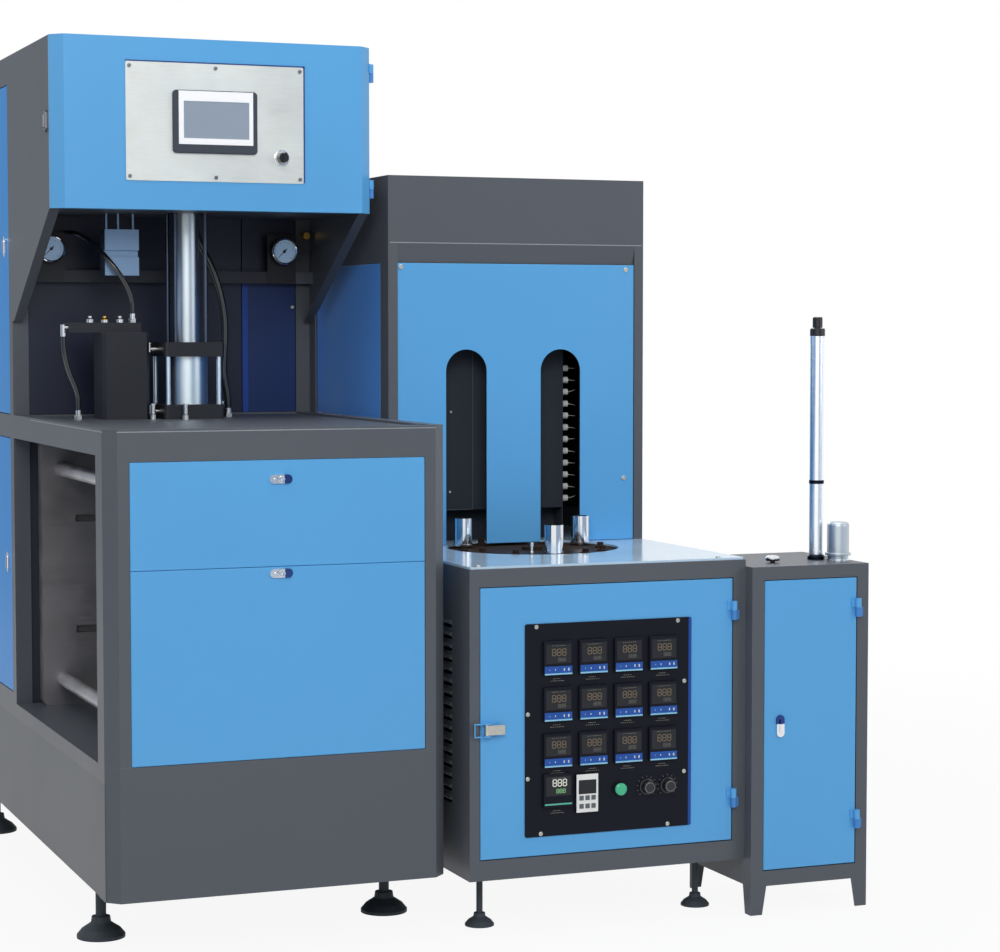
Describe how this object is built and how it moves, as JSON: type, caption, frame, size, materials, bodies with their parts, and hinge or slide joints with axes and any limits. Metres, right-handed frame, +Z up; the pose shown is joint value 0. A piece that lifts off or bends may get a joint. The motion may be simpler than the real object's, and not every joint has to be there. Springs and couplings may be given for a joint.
{
  "type": "blow moulding machine",
  "caption": "Semi-automatic bottle blow moulding machine: clamp and stretch blower under a tall head, lamp oven with preform turntable, and a side cabinet with a column.",
  "frame": {"origin": "middle of the floor area the whole set covers, on the floor", "axes": "+Z up, +Y to the back away from the operator, +X to the operator's right, towards the heater"},
  "size_m": [1.84, 1.975, 2.06],
  "materials": {
    "blue_paint": "satin powder coat",
    "grey_paint": "satin powder coat",
    "pale_top": "smooth gloss",
    "steel_plate": "brushed",
    "machined_steel": "machined",
    "chrome": "polished",
    "black_metal": "black satin",
    "black_plastic": "fine matt",
    "aluminium": "satin",
    "brass": "plated",
    "rubber": "matt",
    "hose": "smooth",
    "white_ceramic": "glazed",
    "green_plastic": "gloss",
    "zinc": "zinc plated"
  },
  "bodies": {
    "machine": {"base_skirt": "grey_paint", "bench_frame": "grey_paint", "tower_frame": "grey_paint", "side_panels": "blue_paint", "head_shell": "grey_paint", "front_panels": "blue_paint", "fixed_platen": "machined_steel", "clamp_cylinder": "aluminium", "cylinder_tubes": "aluminium", "cylinder_caps": "black_metal", "valve_block": "black_metal", "guide_unit": "aluminium", "air_fittings": "brass", "pressure_gauges": "black_metal", "hose_stretch": "hose", "hose_valve": "hose", "hose_drain": "hose", "levelling_feet": "rubber", "heater_cabinet": "grey_paint", "tabletop": "pale_top", "turntable_drive": "machined_steel", "oven_shell": "grey_paint", "oven_panels": "blue_paint", "lamp_rack": "steel_plate", "heater_lamps": "white_ceramic", "side_cabinet": "grey_paint", "door_hinges": "blue_paint", "column_and_cup": "chrome"},
    "head_cover": {"head_cover": "blue_paint", "operator_plate": "steel_plate", "screen_housing": "black_plastic"},
    "selector_knob": {"selector_knob": "black_plastic"},
    "head_lock": {"head_lock": "chrome"},
    "panel_latch_lower": {"panel_latch_lower": "chrome"},
    "panel_latch_upper": {"panel_latch_upper": "chrome"},
    "left_door_lower": {"left_door_lower": "blue_paint"},
    "left_door_upper": {"left_door_upper": "blue_paint"},
    "left_latch_lower": {"left_latch_lower": "chrome"},
    "left_latch_upper": {"left_latch_upper": "chrome"},
    "clamp_carriage": {"clamp_platen": "machined_steel", "tie_bars": "chrome", "crosshead": "machined_steel"},
    "seal_nozzle": {"seal_nozzle": "chrome"},
    "stretch_rod": {"stretch_rod": "chrome"},
    "gauge_pointer_left": {"gauge_pointer_left": "black_plastic"},
    "gauge_pointer_right": {"gauge_pointer_right": "black_plastic"},
    "heater_door": {"heater_door": "blue_paint", "control_panel": "black_plastic"},
    "start_button": {"start_button": "green_plastic"},
    "dial_left": {"dial_left": "black_plastic"},
    "dial_right": {"dial_right": "black_plastic"},
    "toggle_lever": {"toggle_lever": "zinc"},
    "turntable": {"turntable": "machined_steel"},
    "preform_cup_1": {"preform_cup_1": "chrome"},
    "preform_cup_2": {"preform_cup_2": "chrome"},
    "preform_cup_3": {"preform_cup_3": "chrome"},
    "side_door": {"side_door": "blue_paint"},
    "side_latch": {"side_latch": "chrome"},
    "column_rod": {"column_rod": "chrome"},
    "push_button": {"push_button": "chrome"}
  },
  "joints": [
    {"name": "head_cover_hinge", "type": "hinge", "parent": "machine", "child": "head_cover", "pos_m": [-0.117, -0.352, 1.86], "axis": [0, 0, 1], "range_deg": [0, 90]},
    {"name": "selector_turn", "type": "hinge", "parent": "head_cover", "child": "selector_knob", "pos_m": [-0.356, -0.3945, 1.787], "axis": [0, 1, 0], "range_deg": [-45, 45]},
    {"name": "head_lock_turn", "type": "hinge", "parent": "machine", "child": "head_lock", "pos_m": [-0.905, -0.3285, 1.863], "axis": [1, 0, 0], "range_deg": [0, 90]},
    {"name": "panel_latch_lower_turn", "type": "hinge", "parent": "machine", "child": "panel_latch_lower", "pos_m": [-0.515, -0.9025, 0.845], "axis": [0, -1, 0], "range_deg": [0, 90]},
    {"name": "panel_latch_upper_turn", "type": "hinge", "parent": "machine", "child": "panel_latch_upper", "pos_m": [-0.515, -0.9025, 1.052], "axis": [0, -1, 0], "range_deg": [0, 90]},
    {"name": "left_door_lower_hinge", "type": "hinge", "parent": "machine", "child": "left_door_lower", "pos_m": [-0.913, 0.9465, 0.78], "axis": [0, 0, -1], "range_deg": [0, 110]},
    {"name": "left_door_upper_hinge", "type": "hinge", "parent": "machine", "child": "left_door_upper", "pos_m": [-0.913, 0.9465, 1.58], "axis": [0, 0, -1], "range_deg": [0, 110]},
    {"name": "left_latch_lower_turn", "type": "hinge", "parent": "left_door_lower", "child": "left_latch_lower", "pos_m": [-0.905, 0.1935, 0.789], "axis": [1, 0, 0], "range_deg": [0, 90]},
    {"name": "left_latch_upper_turn", "type": "hinge", "parent": "left_door_upper", "child": "left_latch_upper", "pos_m": [-0.905, 0.1935, 1.588], "axis": [1, 0, 0], "range_deg": [0, 90]},
    {"name": "clamp_slide", "type": "slide", "parent": "machine", "child": "clamp_carriage", "axis": [0, 1, 0], "range_m": [0, 0.33]},
    {"name": "nozzle_slide", "type": "slide", "parent": "machine", "child": "seal_nozzle", "axis": [0, 0, -1], "range_m": [0, 0.04]},
    {"name": "stretch_slide", "type": "slide", "parent": "machine", "child": "stretch_rod", "axis": [0, 0, -1], "range_m": [0, 0.48]},
    {"name": "gauge_pointer_left_turn", "type": "hinge", "parent": "machine", "child": "gauge_pointer_left", "pos_m": [-0.817, 0.0545, 1.58], "axis": [0, 1, 0], "range_deg": [0, 270]},
    {"name": "gauge_pointer_right_turn", "type": "hinge", "parent": "machine", "child": "gauge_pointer_right", "pos_m": [-0.213, 0.0545, 1.58], "axis": [0, 1, 0], "range_deg": [0, 270]},
    {"name": "heater_door_hinge", "type": "hinge", "parent": "machine", "child": "heater_door", "pos_m": [0.577, -0.9455, 0.48], "axis": [0, 0, 1], "range_deg": [0, 100]},
    {"name": "start_button_press", "type": "slide", "parent": "heater_door", "child": "start_button", "axis": [0, 1, 0], "range_m": [0, 0.004], "stiffness_N_per_m": 300, "springref_m": -0.002},
    {"name": "dial_left_turn", "type": "hinge", "parent": "heater_door", "child": "dial_left", "pos_m": [0.354, -0.9405, 0.32], "axis": [0, 1, 0], "range_deg": [0, 270]},
    {"name": "dial_right_turn", "type": "hinge", "parent": "heater_door", "child": "dial_right", "pos_m": [0.407, -0.9405, 0.32], "axis": [0, 1, 0], "range_deg": [0, 270]},
    {"name": "toggle_lever_swing", "type": "hinge", "parent": "heater_door", "child": "toggle_lever", "pos_m": [-0.047, -0.9485, 0.476], "axis": [0, 0, -1], "range_deg": [0, 100]},
    {"name": "turntable_spin", "type": "hinge", "parent": "machine", "child": "turntable", "pos_m": [0.2515, -0.4925, 0.839], "axis": [0, 0, 1], "continuous": true},
    {"name": "cup_1_spin", "type": "hinge", "parent": "turntable", "child": "preform_cup_1", "pos_m": [0.41165, -0.41951, 0.845], "axis": [0, 0, 1], "continuous": true},
    {"name": "cup_2_spin", "type": "hinge", "parent": "turntable", "child": "preform_cup_2", "pos_m": [0.10822, -0.3903, 0.845], "axis": [0, 0, 1], "continuous": true},
    {"name": "cup_3_spin", "type": "hinge", "parent": "turntable", "child": "preform_cup_3", "pos_m": [0.23463, -0.66769, 0.845], "axis": [0, 0, 1], "continuous": true},
    {"name": "side_door_hinge", "type": "hinge", "parent": "machine", "child": "side_door", "pos_m": [0.889, -0.9805, 0.45], "axis": [0, 0, 1], "range_deg": [0, 110]},
    {"name": "side_latch_turn", "type": "hinge", "parent": "side_door", "child": "side_latch", "pos_m": [0.684, -0.9725, 0.447], "axis": [0, -1, 0], "range_deg": [0, 90]},
    {"name": "column_rod_slide", "type": "slide", "parent": "machine", "child": "column_rod", "axis": [0, 0, 1], "range_m": [0, 0.4]},
    {"name": "push_button_press", "type": "slide", "parent": "machine", "child": "push_button", "axis": [0, 0, -1], "range_m": [0, 0.004], "stiffness_N_per_m": 300, "springref_m": -0.002}
  ],
  "couplings": [
    {"joint": "cup_1_spin", "follows": "turntable_spin", "ratio": -9.8},
    {"joint": "cup_2_spin", "follows": "turntable_spin", "ratio": -9.8},
    {"joint": "cup_3_spin", "follows": "turntable_spin", "ratio": -9.8}
  ]
}
